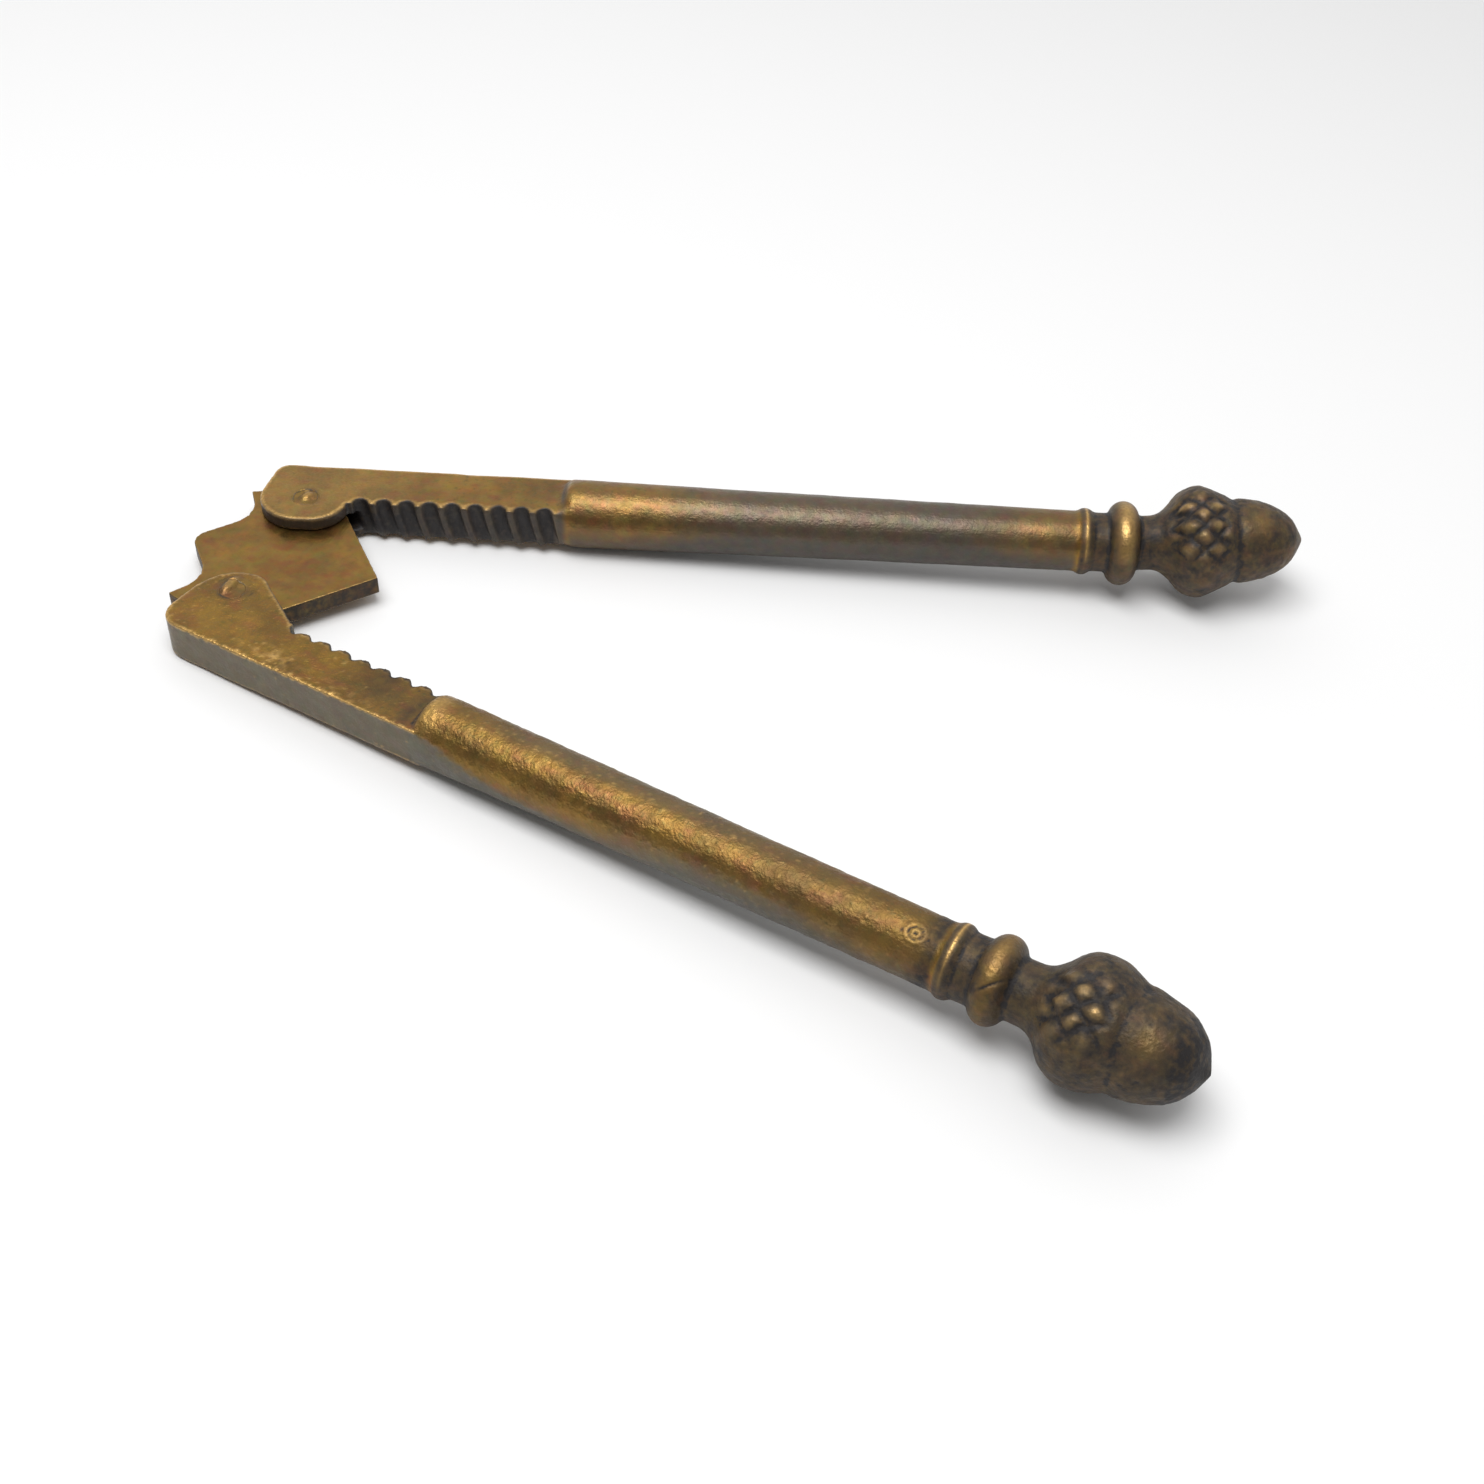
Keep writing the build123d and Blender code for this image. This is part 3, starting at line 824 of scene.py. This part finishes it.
def dull_places(skin, arm, zone):
    """How grey and dull the patina is; on the heads' side faces and on the shank's upper band,
    underside and lower outer side the grey is painted reflection and shade.
    """
    s = skin.co[:, 0]
    facing = skin.normals()
    low_outer = (facing[:, 1] - facing[:, 2] * arm.side) / np.sqrt(2)
    low_side = ramp(low_outer - 0.5 * ramp(s, SHOULDER_X, SHOULDER_X + 20.0), 0.2, 0.5)
    low_side *= ramp(s, SHOULDER_X - 0.5, SHOULDER_X + 1.0) * ramp(s, *LOW_SIDE_FADE)
    # greyer along the shank, and on its underside as painted reflection
    shank = arm.dull + arm.dull_middle * band(s, *DULL_MIDDLE) + 0.5 * zone.under
    shank += arm.dull_far * ramp(s, *FAR_DULL)
    # painted shade and reflection: grey on the shank's upper band and on its lower outer side
    shank += arm.upper_band * band(s, *UPPER_BAND) * ramp(zone.up + zone.inward, 0.7, 1.2)
    shank += arm.low_grey * band(s, *LOW_GREY) * ramp(low_outer, 0.1, 0.6)
    # painted reflection: grey on the heads' side faces and on the shank's lower outer side near the
    # shoulder
    dull = 0.9 * zone.side_face + arm.dull_top * zone.top + 0.85 * low_side
    dull += zone.shank * shank
    dull += zone.finial * (0.35 + (arm.torus_dull - 0.35) * zone.torus)
    dull += 0.4 * zone.cup * ramp(zone.pads, 0.5, 1.0) * zone.crisp
    return dull


def shape_arm(arm):
    skin = Skin(arm.name, arm_axes(arm), ARM_VOXEL)
    soften_casting(skin, arm)
    blend_shoulder(skin, arm)
    round_teeth(skin, arm)
    crests = tooth_crests(skin, arm)
    slant_teeth(skin, arm, crests)

    zone = arm_zones(skin, arm, crests)
    carve_cup(skin, arm, zone)
    roughen(skin, arm, zone)
    if arm is FRONT:
        nick_torus(skin, zone)
        punch_rings(skin, zone)
    fill_dimples(skin, zone)
    zone.raised, zone.sunk = strike_rivet(skin, arm)
    pit_casting(skin, arm, zone)
    skin.ease(25, ramp(zone.along, TIP_X - 2.5, TIP_X - 0.8))

    paint_zones(skin, arm, zone)
    wear_and_highlight = wear_and_highlight_places(skin, arm, zone)
    skin.paint("wear_and_highlight", wear_and_highlight)
    skin.paint("dirt_and_shade", dirt_and_shade_places(skin, arm, zone, wear_and_highlight))
    skin.paint("dull", dull_places(skin, arm, zone))
    skin.paint_place()
    return skin


def make_rear_arm():
    material = aged_brass("rear_arm_brass", brass_recipe(rough=0.38, streak_bump=0.015))
    return shape_arm(REAR).finished("rear_arm_aged", REAR.body, "rear_arm_brass", material)


def make_front_arm():
    material = aged_brass("front_arm_brass", brass_recipe(
        rough=0.42, fine_bump=0.09, coarse_bump=0.1, tint=0.3,
        ochre=(0.30, 0.17, 0.038), umber=(0.19, 0.11, 0.032), grey=(0.14, 0.125, 0.093),
    ))
    return shape_arm(FRONT).finished("front_arm_aged", FRONT.body, "front_arm_brass", material)


# ---- hinge link ---------------------------------------------------------------------------
def make_link():
    """The flat plate, with its notches rounder than the CAD's."""
    skin = Skin("hinge_link", link_axes(), LINK_VOXEL)
    skin.co = skin.smoothed(skin.co, 3)
    x, y, _ = skin.co.T
    skin.co[:, 0] -= LINK_NOTCH_FILL * spot(x, np.abs(y), LINK_NOTCH, LINK_NOTCH_SIZE)
    facing = skin.normals()
    skin.push(0.012 * (noise(skin.co, 2.5, 31) - 1))
    fine = skin.hollowness(6)
    rubbed = 0.5 + 0.5 * noise(skin.co, 2.0, 32)
    flat = ramp(np.abs(facing[:, 2]), 0.75, 0.95)
    skin.paint("wear_and_highlight", ramp(-fine, *FINE_HOLLOW) * (0.4 + 0.6 * rubbed))
    # painted shade on the link's side faces; dirt in its hollows
    skin.paint("dirt_and_shade", 0.85 * (1 - flat) + ramp(fine, *FINE_HOLLOW))
    skin.paint("dull", 0.05 * flat)
    skin.paint_place()
    material = aged_brass("link_brass", brass_recipe(
        rough=0.34, brushing=(1, 40, 40), streak_bump=0.02, fine_bump=0.02, coarse_bump=0.03,
        olive_share=0.3, ochre=(0.34, 0.194, 0.048), umber=(0.26, 0.150, 0.043),
    ))
    return skin.finished("hinge_link_aged", "link", "link_brass", material)


# ---- rivets -------------------------------------------------------------------------------
def make_pin(arm, node_name, material):
    """A rivet whose hammered ends spread into the head's dimples."""
    skin = Skin(node_name, arm_axes(arm), PIN_VOXEL)
    skin.co = skin.smoothed(skin.co, 4)
    x, y, z = skin.co.T
    end = ramp(np.abs(z), HEAD_HALF - 1.0, HEAD_HALF - 0.6)
    spread = 1 + 0.15 * end * ramp(np.hypot(x, y), 1.2, 2.0)
    on_end = ramp(np.abs(skin.normals()[:, 2]), 0.4, 0.8) * end
    skin.co[:, 2] += 0.9 * on_end * (np.sign(z) * (HEAD_HALF - PIN_SINK) - z)
    skin.co[:, :2] *= spread[:, None]
    skin.push(0.05 * (noise(skin.co, 0.7, arm.seed + 9) - 1) * end)
    raised, sunk = strike_rivet(skin, arm)
    # painted highlight on the raised marks; dirt in the hollows and painted shadow at the raised
    # marks' feet
    skin.paint("wear_and_highlight", 0.4 * raised)
    skin.paint("dirt_and_shade", 0.7 * sunk)
    skin.paint("dull", 0.12 * end)
    skin.paint_place()
    return skin.finished(node_name + "_aged", arm.body, "pin_brass", material)


# ---- stage --------------------------------------------------------------------------------
def make_camera():
    data = bpy.data.cameras.new("camera")
    data.lens = CAMERA_LENS
    data.clip_start = 0.01
    data.clip_end = 20
    camera = bpy.data.objects.new("camera", data)
    azimuth, elevation = radians(CAMERA_AZIMUTH), radians(CAMERA_ELEVATION)
    back = Vector((sin(azimuth) * cos(elevation), -cos(azimuth) * cos(elevation), sin(elevation)))
    facing = (-back).to_track_quat("-Z", "Y").to_matrix().to_4x4()
    roll = Matrix.Rotation(radians(CAMERA_ROLL), 4, "Z")
    camera.matrix_world = Matrix.Translation(CAMERA_AT) @ facing @ roll
    bpy.context.scene.collection.objects.link(camera)
    bpy.context.scene.camera = camera


def make_floor():
    """A plain pale plane that the acorn cups and the lower back edges of the heads rest on."""
    under_cups = min(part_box(arm.name)[0].z for arm in (REAR, FRONT))
    heads_x = min(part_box(arm.name)[0].x for arm in (REAR, FRONT))
    hinge = joint_place(REAR.joint)
    under_heads = hinge.z - HEAD_HALF * MM
    cups_x = hinge.x + CUP_X * MM * cos(radians(REAR.rest_angle))
    slope = (under_cups - under_heads) / (cups_x - heads_x)
    square = [(x * FLOOR_HALF, y * FLOOR_HALF) for x, y in ((-1, -1), (1, -1), (1, 1), (-1, 1))]
    corners = [(x, y, under_heads + slope * (x - heads_x)) for x, y in square]
    mesh = bpy.data.meshes.new("floor")
    mesh.from_pydata(corners, [], [(0, 1, 2, 3)])
    floor = bpy.data.objects.new("floor", mesh)
    bpy.context.scene.collection.objects.link(floor)
    material = bpy.data.materials.new("pale_floor")
    material.use_nodes = True
    shader = material.node_tree.nodes["Principled BSDF"]
    shader.inputs["Base Color"].default_value = (0.90, 0.90, 0.90, 1)
    shader.inputs["Roughness"].default_value = 0.9
    mesh.materials.append(material)


def make_light():
    """A broad soft light overhead that shines towards the middle of the frame."""
    data = bpy.data.lights.new("overhead", "AREA")
    data.shape = "RECTANGLE"
    data.size, data.size_y = LIGHT_SIZE
    data.energy = LIGHT_POWER
    light = bpy.data.objects.new("overhead", data)
    facing = Vector(LIGHT_AT).to_track_quat("Z", "Y").to_matrix().to_4x4()
    light.matrix_world = Matrix.Translation(LIGHT_AT) @ facing
    bpy.context.scene.collection.objects.link(light)


def make_world():
    """Studio surroundings, white behind the object and darker towards the camera."""
    world = bpy.data.worlds.new("studio")
    world.use_nodes = True
    tree = world.node_tree
    direction = node(tree, "ShaderNodeTexCoord").outputs["Generated"]
    split = node(tree, "ShaderNodeSeparateXYZ")
    tree.links.new(direction, split.inputs[0])
    far_side = ranged(tree, split.outputs["Y"], -0.4, 0.7, *SURROUND)
    background = tree.nodes["Background"]
    tree.links.new(mixed(tree, far_side, (0, 0, 0), (1, 1, 1)), background.inputs["Color"])
    background.inputs["Strength"].default_value = 1.0
    bpy.context.scene.world = world


make_camera()
make_rear_arm()
make_front_arm()
make_link()
pin_material = aged_brass("pin_brass", brass_recipe(rough=0.42, fine_bump=0.07))
make_pin(REAR, "rear_pin", pin_material)
make_pin(FRONT, "front_pin", pin_material)
make_floor()
make_light()
make_world()
bpy.context.scene.view_settings.view_transform = "Standard"
